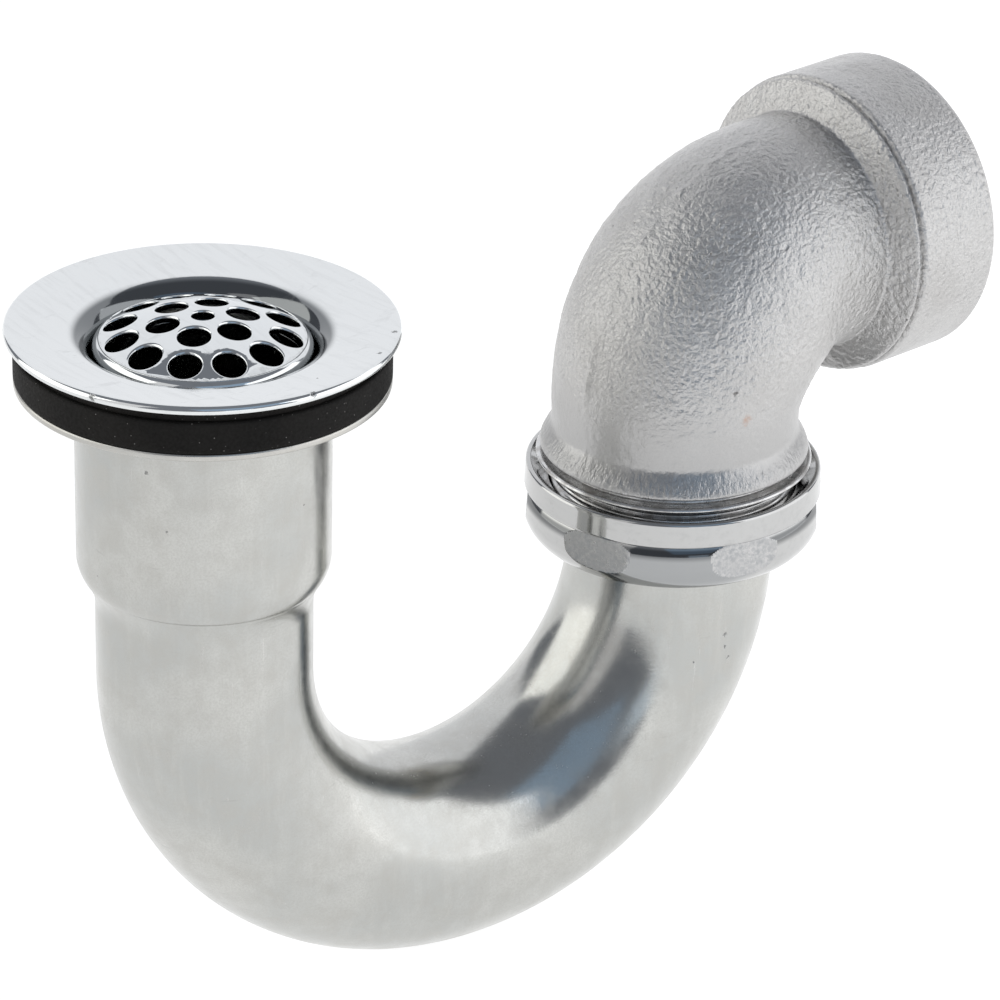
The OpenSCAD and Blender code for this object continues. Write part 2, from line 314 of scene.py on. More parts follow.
class Nodes:
    """A material's node tree, with short calls for the nodes that the finishes use."""

    def __init__(self, name):
        self.material = bpy.data.materials.new(name)
        self.material.use_nodes = True
        self.tree = self.material.node_tree
        self.shader = self.tree.nodes["Principled BSDF"]
        self.place = self.tree.nodes.new("ShaderNodeTexCoord").outputs["Object"]

    def add(self, kind, inputs=None, **settings):
        """A node of that kind, with each input linked to a socket or set to a constant."""
        node = self.tree.nodes.new(kind)
        for key, value in settings.items():
            setattr(node, key, value)
        for key, value in (inputs or {}).items():
            if isinstance(value, bpy.types.NodeSocket):
                self.tree.links.new(value, node.inputs[key])
            else:
                node.inputs[key].default_value = value
        return node

    def stretched(self, scale, turn=(0, 0, 0)):
        """Object coordinates, turned and scaled, so that a pattern draws out into lines."""
        mapping = self.add("ShaderNodeMapping", {"Vector": self.place})
        mapping.inputs["Scale"].default_value = scale
        mapping.inputs["Rotation"].default_value = turn
        return mapping.outputs["Vector"]

    def noise(self, size_mm, detail=4.0, rough=0.55, vector=None):
        """Cloudy noise with features of about that size."""
        node = self.add("ShaderNodeTexNoise", {
            "Vector": vector or self.place, "Scale": 1 / (size_mm * MM), "Detail": detail,
            "Roughness": rough})
        return node.outputs["Fac"]

    def cells(self, size_mm):
        """The distance to the nearest of a scatter of points about that far apart."""
        node = self.add("ShaderNodeTexVoronoi", {"Vector": self.place, "Scale": 1 / (size_mm * MM)})
        return node.outputs["Distance"]

    def spread(self, value, low, high, to_low=0.0, to_high=1.0):
        """The value eased from to_low, at low, to to_high, at high."""
        node = self.add("ShaderNodeMapRange", {
            "Value": value, "From Min": low, "From Max": high, "To Min": to_low,
            "To Max": to_high}, interpolation_type="SMOOTHSTEP")
        return node.outputs["Result"]

    def math(self, kind, a, b):
        return self.add("ShaderNodeMath", {0: a, 1: b}, operation=kind).outputs[0]

    def height(self):
        return self.add("ShaderNodeSeparateXYZ", {"Vector": self.place}).outputs["Z"]

    def times(self, colour, factor, warm=0.0):
        """The colour made lighter or darker by the factor, and warmer by warm."""
        red, green, blue = colour[:3]
        return (red * factor * (1 + warm), green * factor, blue * factor * (1 - warm), 1)

    def marks(self, spots, others=None, soft=0.5):
        """1 on each spot (x, y, z, radius in millimetres), ragged at the edge, and on others."""
        if not spots:
            return others
        result = others
        wobble = self.add("ShaderNodeTexNoise", {
            "Vector": self.place, "Scale": 1 / (wobble_size * MM), "Detail": 3}).outputs["Color"]
        shift = self.add("ShaderNodeVectorMath", {0: wobble, 1: (-0.5, -0.5, -0.5)},
                         operation="ADD").outputs[0]
        shift = self.add("ShaderNodeVectorMath", {0: shift, "Scale": wobble_reach * MM},
                         operation="SCALE").outputs[0]
        ragged = self.add("ShaderNodeVectorMath", {0: self.place, 1: shift},
                          operation="ADD").outputs[0]
        for x, y, z, radius in spots:
            away = self.add("ShaderNodeVectorMath", {0: ragged, 1: (x * MM, y * MM, z * MM)},
                            operation="DISTANCE").outputs["Value"]
            spot = self.spread(away, radius * (1 - soft) * MM, radius * MM, 1, 0)
            result = spot if result is None else self.math("MAXIMUM", result, spot)
        return result

    def mix(self, factor, a, b):
        node = self.add("ShaderNodeMix", data_type="RGBA")
        for index, value in ((0, factor), (6, a), (7, b)):
            if isinstance(value, bpy.types.NodeSocket):
                self.tree.links.new(value, node.inputs[index])
            else:
                node.inputs[index].default_value = value
        return node.outputs[2]

    def bump(self, height, strength, distance_mm, normal=None):
        inputs = {"Height": height, "Strength": strength, "Distance": distance_mm * MM}
        if normal is not None:
            inputs["Normal"] = normal
        return self.add("ShaderNodeBump", inputs).outputs["Normal"]

    def set(self, **sockets):
        """Links or sets the shader's inputs by name, and returns the finished material."""
        for name, value in sockets.items():
            title = name.replace("_", " ").title() if "_" in name else name.capitalize()
            socket = self.shader.inputs[title]
            if isinstance(value, bpy.types.NodeSocket):
                self.tree.links.new(value, socket)
            else:
                socket.default_value = value
        return self.material


def grey(value, warm=0.0):
    """A grey with its red raised and its blue lowered by warm."""
    return (value * (1 + warm), value, value * (1 - warm), 1)


def satin_metal(name, base, rough, marks=()):
    """Plated tube with a satin finish: clouds, hairline scratches, faint stains and dents.
    marks are the dents seen in the photo."""
    n = Nodes(name)
    streaks = n.noise(2.2, 5, 0.6, n.stretched((1.0, 1.0, 0.10)))
    hairs = n.noise(0.5, 4, 0.6, n.stretched((1.0, 1.0, 0.05), (0.08, 0.05, 0)))
    cross_hairs = n.noise(0.5, 4, 0.6, n.stretched((0.08, 0.08, 1.0), (0.12, 0.1, 0)))
    clouds = n.noise(20, 3, 0.5)
    patches = n.noise(5, 5, 0.65)
    fine = n.noise(0.35, 3, 0.6)
    pits = n.spread(n.cells(16), 0.008, 0.02, 1, 0)
    tone = n.mix(n.spread(clouds, 0.32, 0.68), n.times(base, 1.05), n.times(base, 0.89, -0.02))
    tone = n.mix(n.spread(patches, 0.35, 0.75, 0, 0.8), tone, n.times(base, 0.90, 0.015))
    tone = n.mix(n.spread(streaks, 0.45, 0.75, 0, 0.3), tone, n.times(base, 1.10))
    tone = n.mix(n.spread(fine, 0.40, 0.62, 0, 0.45), tone, n.times(base, 0.86, 0.01))
    tone = n.mix(n.spread(hairs, 0.66, 0.74, 0, 0.4), tone, n.times(base, 1.2))
    tone = n.mix(n.spread(cross_hairs, 0.66, 0.74, 0, 0.5), tone, n.times(base, 0.75))
    dents = n.marks(marks, pits)
    tone = n.mix(n.math("MULTIPLY", dents, 0.65), tone, grey(0.12))
    roughness = n.math("ADD", n.spread(patches, 0.3, 0.75, rough - 0.03, rough + 0.06),
                       n.spread(hairs, 0.6, 0.75, 0, 0.08))
    height = n.math("ADD", n.math("MULTIPLY", streaks, 0.25),
                    n.math("ADD", n.math("MULTIPLY", cross_hairs, 0.35),
                           n.math("MULTIPLY", fine, 0.35)))
    normal = n.bump(height, 0.5, 0.025)
    normal = n.bump(patches, 0.3, 0.06, normal)
    normal = n.bump(dents, 0.6, -0.15, normal)
    return n.set(base_color=tone, metallic=1.0, roughness=roughness, normal=normal)


def chrome(name, base, rough, marks=(), reflection_patch=None, bowl_shade_top=None):
    """Polished plate with hairline wipes, faint ripple, scuffs and nicks. marks are the nicks
    seen in the photo. The patch argument gives a greyer patch of painted dark reflection on the
    side that faces the camera: the height of its top in millimetres, a point on its axis and
    the way out to it, with a band of painted shade just under its top. Below the height in the
    last argument the metal is painted darker: painted shade in the bowl."""
    n = Nodes(name)
    wipes = n.noise(1.4, 4, 0.6, n.stretched((1.0, 0.08, 1.0), (0, 0, 0.5)))
    scuffs = n.noise(3.5, 5, 0.7, n.stretched((0.4, 1.0, 1.0), (0, 0, -0.4)))
    ripple = n.noise(9, 2, 0.4)
    tone = n.mix(n.spread(wipes, 0.45, 0.75), base, n.times(base, 0.93))
    tone = n.mix(n.spread(scuffs, 0.58, 0.72, 0, 0.6), tone, n.times(base, 0.84))
    if reflection_patch is not None:
        # Painted dark reflection: the side that faces the camera is greyed below the patch's top.
        top, centre, way = reflection_patch
        under = n.spread(n.height(), (top - 0.6) * MM, top * MM, 1, 0)
        from_axis = n.add("ShaderNodeVectorMath", {0: n.place, 1: centre},
                          operation="SUBTRACT").outputs[0]
        along = n.add("ShaderNodeVectorMath", {0: from_axis, 1: way},
                      operation="DOT_PRODUCT").outputs["Value"]
        painted_reflection = n.math("MULTIPLY", under, n.spread(along, 21 * MM, 25.5 * MM))
        tone = n.mix(painted_reflection, tone, n.times(base, 0.72, -0.02))
        # Painted shade: a dark band just under the patch's top, where the band above overhangs.
        painted_top_shade = n.spread(n.height(), (top - 2.6) * MM, (top - 1.2) * MM)
        tone = n.mix(n.math("MULTIPLY", n.math("MULTIPLY", under, painted_top_shade), 0.85), tone,
                     n.times(base, 0.25, -0.04))
    if bowl_shade_top is not None:
        # Painted shade: the metal below this height is darkened, as the bowl is shaded.
        inside = n.spread(n.height(), (bowl_shade_top - 0.7) * MM, bowl_shade_top * MM, 1, 0)
        tone = n.mix(inside, tone, n.times(base, 0.26, -0.03))
    nicks = n.marks(marks, n.spread(n.cells(11), 0.008, 0.02, 1, 0))
    tone = n.mix(n.math("MULTIPLY", nicks, 0.75), tone, grey(0.1))
    roughness = n.math("ADD", n.spread(wipes, 0.4, 0.8, rough, rough + 0.07),
                       n.spread(scuffs, 0.56, 0.72, 0, 0.10))
    normal = n.bump(ripple, 0.25, 0.12)
    normal = n.bump(wipes, 0.12, 0.01, normal)
    normal = n.bump(nicks, 0.5, -0.1, normal)
    return n.set(base_color=tone, metallic=1.0, roughness=roughness, normal=normal)


def ground_flat(name):
    """The nut's ground and dulled flats, mottled by the plating."""
    n = Nodes(name)
    mottle = n.noise(0.8, 5, 0.7)
    patches = n.noise(5, 3, 0.5)
    tone = n.mix(n.spread(mottle, 0.36, 0.66), grey(0.40, -0.02), grey(0.56, 0.01))
    tone = n.mix(n.spread(patches, 0.4, 0.7, 0, 0.6), tone, grey(0.46))
    height = n.math("ADD", mottle, n.math("MULTIPLY", n.noise(0.4, 3, 0.6), 0.4))
    return n.set(base_color=tone, metallic=1.0, roughness=n.spread(mottle, 0.3, 0.7, 0.42, 0.26),
                 normal=n.bump(height, 0.5, 0.09))


def turned_metal_finish(name):
    """Bright turned faces of the elbow's ends, with tool lines around them."""
    n = Nodes(name)
    lines = n.noise(0.5, 3, 0.6, n.stretched((0.05, 0.05, 1.0)))
    stain = n.noise(3.0, 4, 0.6)
    tone = n.mix(n.spread(stain, 0.4, 0.72), grey(0.66), grey(0.44, 0.03))
    return n.set(base_color=tone, metallic=1.0, roughness=n.spread(stain, 0.3, 0.7, 0.18, 0.34),
                 normal=n.bump(lines, 0.15, 0.01))


def cast_zinc(name, foot_z, pits_at, rust_at):
    """Sand-cast iron under bright zinc: a pebbled skin that is smoother low down, file
    marks just above the foot, a few pits and a touch of rust."""
    n = Nodes(name)
    pebbles = n.math("SUBTRACT", n.noise(0.75, 3, 0.6), n.math("MULTIPLY", n.cells(1.1), 0.35))
    sand = n.noise(0.38, 4, 0.65)
    lumps = n.noise(4.5, 3, 0.5)
    blotch = n.noise(13, 4, 0.55)
    strokes = n.noise(0.8, 3, 0.6, n.stretched((1.0, 1.0, 0.22)))
    coarse = n.spread(n.height(), (foot_z + 6) * MM, (foot_z + 26) * MM, 0.18, 1)
    filed = n.spread(n.height(), (foot_z + 1.5) * MM, (foot_z + 5.5) * MM, 1, 0)
    pits = n.marks(pits_at, n.spread(n.cells(9), 0.01, 0.03, 1, 0))
    rust = n.math("MULTIPLY", n.marks(rust_at, None, 0.85), n.spread(sand, 0.3, 0.6, 0.5, 1))
    tone = n.mix(n.spread(sand, 0.32, 0.62), grey(0.49, 0.008), grey(0.60, 0.015))
    tone = n.mix(n.spread(blotch, 0.4, 0.75), tone, grey(0.51, 0.018))
    # Darker towards the foot, fading out 24 mm above it.
    darker_low_down = n.spread(n.height(), (foot_z + 4) * MM, (foot_z + 24) * MM, 0.75, 0)
    tone = n.mix(darker_low_down, tone, grey(0.41, 0.005))
    tone = n.mix(n.math("MULTIPLY", pits, 0.7), tone, grey(0.06, 0.1))
    tone = n.mix(n.math("MULTIPLY", rust, 0.55), tone, (0.42, 0.20, 0.10, 1))
    roughness = n.spread(sand, 0.3, 0.75, 0.28, 0.42)
    normal = n.bump(n.math("MULTIPLY", pebbles, coarse), 1.0, 0.42)
    normal = n.bump(lumps, 0.5, 0.3, normal)
    normal = n.bump(sand, 0.7, 0.07, normal)
    normal = n.bump(n.math("MULTIPLY", strokes, filed), 1.0, 0.35, normal)
    normal = n.bump(pits, 0.8, -0.2, normal)
    return n.set(base_color=tone, metallic=1.0, roughness=roughness, normal=normal)


def rubber(name, shade):
    """Matt black rubber with pale dust specks and a fine moulded skin."""
    n = Nodes(name)
    skin = n.noise(0.5, 4, 0.65)
    dust = n.spread(n.cells(1.1), 0.05, 0.12, 1, 0)
    patch = n.noise(8, 3, 0.5)
    tone = n.mix(n.spread(patch, 0.3, 0.7), grey(shade, 0.14), grey(shade * 1.6, 0.14))
    tone = n.mix(n.math("MULTIPLY", dust, n.spread(patch, 0.35, 0.6, 0, 0.5)), tone,
                 grey(0.35, 0.05))
    normal = n.bump(skin, 0.5, 0.05)
    n.shader.inputs["Specular IOR Level"].default_value = 0.2
    return n.set(base_color=tone, roughness=n.spread(skin, 0.3, 0.7, 0.65, 0.85), normal=normal)


def brass(name):
    """Stamped brass sheet with draw lines and a little tarnish."""
    n = Nodes(name)
    lines = n.noise(1.2, 4, 0.6, n.stretched((0.1, 1.0, 1.0)))
    stain = n.noise(6, 4, 0.6)
    tone = n.mix(n.spread(stain, 0.45, 0.75), (0.72, 0.53, 0.24, 1), (0.40, 0.27, 0.12, 1))
    return n.set(base_color=tone, metallic=1.0, roughness=n.spread(stain, 0.3, 0.7, 0.25, 0.42),
                 normal=n.bump(lines, 0.3, 0.02))


# Dents, nicks, pits and rust seen in the photo: x, y, z and radius in millimetres.
tube_marks = [(-171.1, 5.3, -5.8, 0.45), (-169.3, 2.1, -16.5, 0.3), (-56.3, -18.7, -65.5, 0.5),
              (-56.0, -18.8, -68.0, 0.4), (-55.2, -18.9, -70.5, 0.5)]
flange_marks = [(-183.2, 4.0, 12.2, 0.8), (-154.5, -18.7, 12.6, 0.7), (-135.7, -13.4, 12.8, 0.6),
                (-128.3, -8.5, 12.8, 0.6)]
cast_pits = [(-74.3, -9.5, -24.3, 0.5), (-59.4, -22.1, -14.6, 0.6), (-60.4, -21.9, -16.2, 0.4)]
cast_rust = [(-57.1, -23.1, -20.3, 1.5), (-61.5, -21.9, -20.0, 0.9)]

satin_tube = satin_metal("satin_tube", (0.535, 0.535, 0.512, 1), 0.20, tube_marks)
satin_collar = satin_metal("satin_collar", (0.56, 0.55, 0.52, 1), 0.30)
# The flange is painted darker from 1.55 mm under its top downwards: painted shade in the bowl.
polished_flange = chrome("polished_flange", (0.775, 0.79, 0.79, 1), 0.07, flange_marks,
                         bowl_shade_top=flange_z - 1.55)
polished_grid = chrome("polished_grid", (0.745, 0.765, 0.77, 1), 0.06)
# The nut's patch of painted dark reflection on the side towards the camera: its top, axis and way
# out.
nut_reflection_patch = (nut_z + 8.9, (leg_x * MM, leg_y * MM, 0), (-0.67, -0.74, 0))
polished_nut = chrome("polished_nut", (0.52, 0.52, 0.515, 1), 0.08, reflection_patch=nut_reflection_patch)
dull_flat = ground_flat("dull_flat")
turned_metal = turned_metal_finish("turned_metal")
cast_elbow = cast_zinc("cast_elbow", bend_z + elbow_foot + cast_foot, cast_pits, cast_rust)
gasket_rubber = rubber("gasket_rubber", 0.0045)
seal_rubber = rubber("seal_rubber", 0.006)
washer_rubber = rubber("washer_rubber", 0.010)
brass_ring = brass("brass_ring")


def belong(piece, body, node):
    """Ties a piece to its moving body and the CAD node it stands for."""
    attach(piece, body)
    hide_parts(node)
    return piece


# ---- Trap ----


def trap_radius(along, wall):
    """The tube, a hollow curve up to the shoulder's edge, a round one above it, the cup."""
    height = np.linspace(0, 40, 801)
    slope = np.interp(height, [shoulder_foot, shoulder_edge, shoulder_top], [0, 1, 0])
    crease = 0.05 * np.exp(-((height - shoulder_edge) / 0.3) ** 2)
    swell = (cup_r - tube_r) * np.cumsum(slope) / slope.sum()
    return tube_r - wall + np.interp(-along, height, swell - crease)


def make_trap():
    """The one-piece J bend, with close rings where the cup's shoulder curves."""
    top = -at(cup_top_z)
    end = bend_r * math.pi + outlet_leg_len
    ease = 0.35
    corners = rounded([(top, cup_r, ease), (end, tube_r, ease),
                       (end, tube_r - tube_wall, ease), (top, cup_r - tube_wall, ease)], 4)
    cup_rim, end_rim, end_bore, cup_bore = np.split(corners, 4)
    shoulder = np.linspace(-shoulder_top - 1, -shoulder_foot + 1, 90)
    along = np.sort(np.concatenate([np.linspace(top + ease, end - ease, 300), shoulder]))
    outer = np.stack([along, trap_radius(along, 0)], -1)
    inner = np.stack([along, trap_radius(along, tube_wall)], -1)[::-1]
    outline = np.concatenate([cup_rim, outer[1:-1], end_rim, end_bore, inner[1:-1], cup_bore])
    piece = sweep("trap_tube", outline, trap_place, [satin_tube], j_path)
    return belong(piece, "trap", "trap_bend")


def make_collar():
    """The lip and the threaded sleeve inside the cup, soldered to the cup's mouth."""
    foot, top = at(sleeve_z), at(lip_z)
    crest = sleeve_r - 1.0
    under = top - lip_t
    solder = 0.8
    outline = finer(rounded([
        (foot, sleeve_r - 0.02, 0.2), (under, sleeve_r - 0.02, 0), (under, cup_r + 0.02, 0),
        (under - solder, cup_r + 0.02, 0), (under - solder * 0.9, cup_r + 0.15, 0),
        (under - solder * 0.35, cup_r + 0.35, 0), (under - 0.05, cup_r + 0.8, 0.0),
        (under, cup_r + 1.0, 0), (under, lip_r, 0.45),
        (top, lip_r, 0.35), (top, crest, 0.3), (foot, crest, 0.3)], 4), 0.35)

    def shape(along, radius, theta):
        inside = radius < crest + 0.3
        groove = thread(along, theta, strainer_pitch, foot, top)
        bead = (along < under - 0.02) & (radius > cup_r + 0.05)
        blobs = np.sin(23 * theta) + np.sin(41 * theta + 1) + np.sin(67 * theta + 2)
        return radius + inside * strainer_groove * groove + bead * 0.06 * blobs

    piece = sweep("inlet_lip", outline, inlet_place, [satin_collar], shape=shape)
    return belong(piece, "trap", "inlet_collar")


def make_ring(name, node, body, material, outer, inner, ease):
    """A plain ring with eased edges, as high as its CAD node."""
    foot, top = at(low_z(node)), at(high_z(node))
    outline = finer(rounded([(foot, outer, ease), (top, outer, ease),
                             (top, inner, ease), (foot, inner, ease)], 4), 0.6)
    place = inlet_place if body in ("trap", "strainer_carrier") else leg_place
    return belong(sweep(name, outline, place, [material]), body, node)


# ---- Strainer ----


def make_flange():
    """The flange, its roll into the bowl, and the threaded shank below."""
    edge = flange_t / 2
    rise = roll_r - edge
    roll_x = bowl_r + roll_r
    tilt_sin, tilt_cos = math.sin(flange_slope), math.cos(flange_slope)
    plate = (flange_r - edge - roll_x + rise * tilt_sin) / tilt_cos
    rim_z = at(flange_z) - edge
    rim_x = flange_r - edge
    roll_z = rim_z - plate * tilt_sin - rise * tilt_cos
    foot = at(shank_foot_z)
    shank_top = at(lip_z) + 0.6
    bore = shank_r - 2
    ledge = roll_z - 0.8
    turn = np.linspace(0, math.pi / 2 - flange_slope, 16)
    upper = [(roll_z + roll_r * math.sin(a), roll_x - roll_r * math.cos(a)) for a in turn]
    inner_r = roll_r - flange_t
    lower = [(roll_z + inner_r * math.sin(a), roll_x - inner_r * math.cos(a)) for a in turn]
    rim = [(rim_z + edge * (tilt_cos * math.cos(a) + tilt_sin * math.sin(a)),
            rim_x + edge * (tilt_cos * math.sin(a) - tilt_sin * math.cos(a)))
           for a in np.linspace(0, math.pi, 14)]
    shank = [(shank_top, bowl_r + flange_t), (shank_top, shank_r), (foot, shank_r), (foot, bore),
             (ledge, bore), (ledge, bowl_r)]
    outline = finer(np.array(upper + rim + lower[::-1] + shank), 0.3)

    def shape(along, radius, theta):
        outside = (radius > shank_r - 0.1) & (along < shank_top)
        groove = thread(along, theta, strainer_pitch, foot, shank_top)
        return radius - outside * strainer_groove * groove

    piece = sweep("strainer_flange_ring", outline, inlet_place, [polished_flange], shape=shape,
                  around=200)
    return belong(piece, "strainer", "strainer_flange")


def make_seal():
    """The rubber ring that fills the wedge under the sloping flange."""
    foot, top = at(low_z("flange_seal")), at(high_z("flange_seal"))
    outer, inner, ease = outer_r("flange_seal"), bowl_r + roll_r + 0.2, 0.15
    top_in = top - (outer - inner) * math.tan(flange_slope)
    outline = rounded([(foot, outer, ease), (top, outer, ease), (top_in, inner, ease),
                       (foot, inner, ease)], 4)
    piece = sweep("flange_seal_ring", finer(outline, 0.6), inlet_place, [seal_rubber])
    return belong(piece, "strainer_carrier", "flange_seal")


def grid_profile(inset):
    """The dome's side, from the crown's edge over its roll and down the skirt."""
    rim_roll = 2.1
    skirt = bowl_r - 0.05
    crown = at(dome_z) - dome_r
    rim_x = skirt - rim_roll
    rim_z = crown + math.sqrt((dome_r - rim_roll) ** 2 - rim_x ** 2)
    lean = math.atan2(rim_x, rim_z - crown)
    arc = [(rim_z + (rim_roll - inset) * math.cos(a), rim_x + (rim_roll - inset) * math.sin(a))
           for a in np.linspace(lean, math.pi / 2, 12)]
    foot = [(z, skirt - inset) for z in np.linspace(rim_z, at(dome_foot_z), 6)[1:]]
    return arc + foot


def drain_holes():
    """The x, y and radius of each hole: one in the middle and two rings around it."""
    holes = [(0.0, 0.0, centre_hole_r)]
    for count, ring in hole_rings:
        for k in range(count):
            a = grid_turn + k * 2 * math.pi / count
            holes.append((ring * math.cos(a), ring * math.sin(a), hole_r))
    return holes


def crown_points(holes, edge_r):
    """The crown seen from above: its points, how far each one drops on a hole's rolled rim,
    the edges to keep, and each hole's innermost loop of points."""
    rim_steps = (0.0, 0.04, 0.12, 0.24, rim_round)
    spacing = 0.55
    points = [(edge_r * math.cos(a), edge_r * math.sin(a))
              for a in np.arange(grid_around) * 2 * math.pi / grid_around]
    drop = [0.0] * grid_around
    edges = [(k, (k + 1) % grid_around) for k in range(grid_around)]
    loops = []
    for x, y, r in holes:
        count = int(28 * r / centre_hole_r)
        loops.append(list(range(len(points), len(points) + count)))
        for step in rim_steps:
            first = len(points)
            for k in range(count):
                a = 2 * math.pi * k / count
                points.append((x + (r + step) * math.cos(a), y + (r + step) * math.sin(a)))
                drop.append(rim_round - math.sqrt(rim_round ** 2 - (rim_round - step) ** 2))
            edges += [(first + k, first + (k + 1) % count) for k in range(count)]
    reach = int(edge_r / spacing) + 1
    for row in range(-reach, reach + 1):
        for column in range(-reach, reach + 1):
            x = (column + 0.5 * (row % 2)) * spacing
            y = row * spacing * math.sqrt(3) / 2
            clear = all(math.hypot(x - hx, y - hy) > hr + rim_round + 0.25 for hx, hy, hr in holes)
            if clear and math.hypot(x, y) < edge_r - 0.3:
                points.append((x, y))
                drop.append(0.0)
    return points, drop, edges, loops


def make_grid():
    """The domed sheet: a triangulated crown with rolled hole rims, a rim roll and a skirt."""
    crown = at(dome_z) - dome_r
    side = grid_profile(0)
    holes = drain_holes()
    points, drop, edges, hole_loops = crown_points(holes, side[0][1])
    flat, _, faces, origin, _, _ = delaunay_2d_cdt([Vector(p) for p in points], edges, [], 0, 1e-7)
    lowered = [max((drop[k] for k in source), default=0.0) for source in origin]
    index = {k: new for new, source in enumerate(origin) for k in source}

    def in_hole(face):
        x = sum(flat[v].x for v in face) / len(face)
        y = sum(flat[v].y for v in face) / len(face)
        return any(math.hypot(x - hx, y - hy) < hr - 0.001 for hx, hy, hr in holes)

    faces = [list(face) for face in faces if not in_hole(face)]

    def crown_z(v, inset):
        return crown + math.sqrt((dome_r - inset) ** 2 - flat[v].length_squared)

    count = len(flat)
    verts = [(flat[v].x, flat[v].y, crown_z(v, 0) - lowered[v]) for v in range(count)]
    verts += [(flat[v].x, flat[v].y, crown_z(v, grid_t)) for v in range(count)]
    all_faces = faces + [[v + count for v in reversed(face)] for face in faces]
    for loop in hole_loops:
        ring = [index[v] for v in loop]
        for a, b in zip(ring, ring[1:] + ring[:1]):
            all_faces.append([a, b, b + count, a + count])
    turns = range(grid_around)
    start = [index[k] for k in turns]
    previous = start
    for z, r in side[1:] + grid_profile(grid_t)[::-1][:-1]:
        first = len(verts)
        for k in turns:
            a = 2 * math.pi * k / grid_around
            verts.append((r * math.cos(a), r * math.sin(a), z))
        here = list(range(first, first + grid_around))
        all_faces += [[previous[k - 1], previous[k], here[k], here[k - 1]] for k in turns]
        previous = here
    last = [v + count for v in start]
    all_faces += [[previous[k - 1], previous[k], last[k], last[k - 1]] for k in turns]
    piece = add_mesh("strainer_dome", verts, all_faces, inlet_place, [polished_grid])
    return belong(piece, "strainer", "strainer_grid")


# ---- Slip joint ----


def make_nut():
    """A barrel with six ground flats, a band above it, a shelf below and a thread inside,
    whose crests stand just outside the elbow's, so the two threads pass without meshing."""
    foot = at(nut_z)
    belly = 4.9
    low_r, shoulder_r = 6.0, 4.0
    belly_top = 6.55
    foot_turn = math.asin(0.767)
    low = [(belly - low_r * math.sin(a), nut_r - low_r * (1 - math.cos(a)))
           for a in np.linspace(foot_turn, 0, 14)]
    shoulder = [(belly_top + shoulder_r * math.sin(a), nut_r - shoulder_r * (1 - math.cos(a)))
                for a in np.linspace(0, math.radians(38), 12)]
    band_foot = shoulder[-1][0] + 0.05
    band_r = nut_r - 0.15
    lip = 0.6
    band = [(band_foot, band_r - 0.5), (band_foot + 0.08, band_r - 0.15),
            (band_foot + 0.3, band_r)]
    band += [(nut_h - lip + lip * math.sin(a), band_r - 0.2 - lip * (1 - math.cos(a)))
             for a in np.linspace(0, math.pi / 2, 7)]
    shelf = 1.8
    thread_foot = 5.2
    crest = slip_crest_r + 0.25
    mouth = 26.1
    inside = [(nut_h, mouth + 0.1), (nut_h - 0.1, mouth), (nut_h - 3.35, crest),
              (thread_foot, crest), (thread_foot, crest + 0.2), (shelf, crest + 0.2),
              (shelf, nut_bore_r + 0.2),
              (shelf - 0.2, nut_bore_r), (0.25, nut_bore_r), (0.0, nut_bore_r + 0.25), (0.0, 24.0)]
    outline = finer(np.array(low + shoulder + band + inside), 0.25)
    outline[:, 0] += foot
    flat_depth = 0.8
    flat_tilt = math.tan(math.radians(3))

    def flat_radius(along, theta):
        nearest = np.mod(theta - flat_turn + math.pi / 6, math.pi / 3) - math.pi / 6
        plane = nut_r - flat_depth - (along - foot - belly) * flat_tilt
        return plane / np.cos(nearest)

    def shape(along, radius, theta):
        below = (radius > mouth - 0.6) & (along - foot < band_foot - 0.02)
        below |= (along - foot < 0.5) & (radius > 24.5)
        cut = np.where(below, np.minimum(radius, flat_radius(along, theta)), radius)
        groove = thread(along, theta, slip_pitch, foot + thread_foot + 0.2, foot + nut_h - 3.3)
        inner = (radius < crest + 0.05) & (along > foot + thread_foot)
        return cut + inner * slip_groove * groove

    def pick(along, radius, theta):
        return (np.abs(radius - flat_radius(along, theta)) < 1e-6) & (along - foot < band_foot)

    piece = sweep("slip_nut_shell", outline, leg_place, [polished_nut, dull_flat], around=432,
                  shape=shape, pick=pick)
    return belong(piece, "nut", "slip_nut")


def make_washer():
    """The stepped rubber washer, a hair above the friction ring that it rests on."""
    gap = 0.03
    foot, top = at(low_z("slip_washer")) + gap, at(high_z("slip_washer"))
    nose = 1.2
    outline = rounded([(foot, tube_r + 0.02, 0.15), (foot, slip_crest_r - 0.15, 0.3),
                       (top - nose, slip_crest_r - 0.15, 0.3), (top - nose, socket_r + 1.4, 0.1),
                       (top, socket_r + 0.25, 0.15), (top, tube_r + 0.02, 0.08)], 4)
    piece = sweep("slip_washer_ring", finer(outline, 0.5), leg_place, [washer_rubber])
    return belong(piece, "trap", "slip_washer")


# ---- Elbow ----


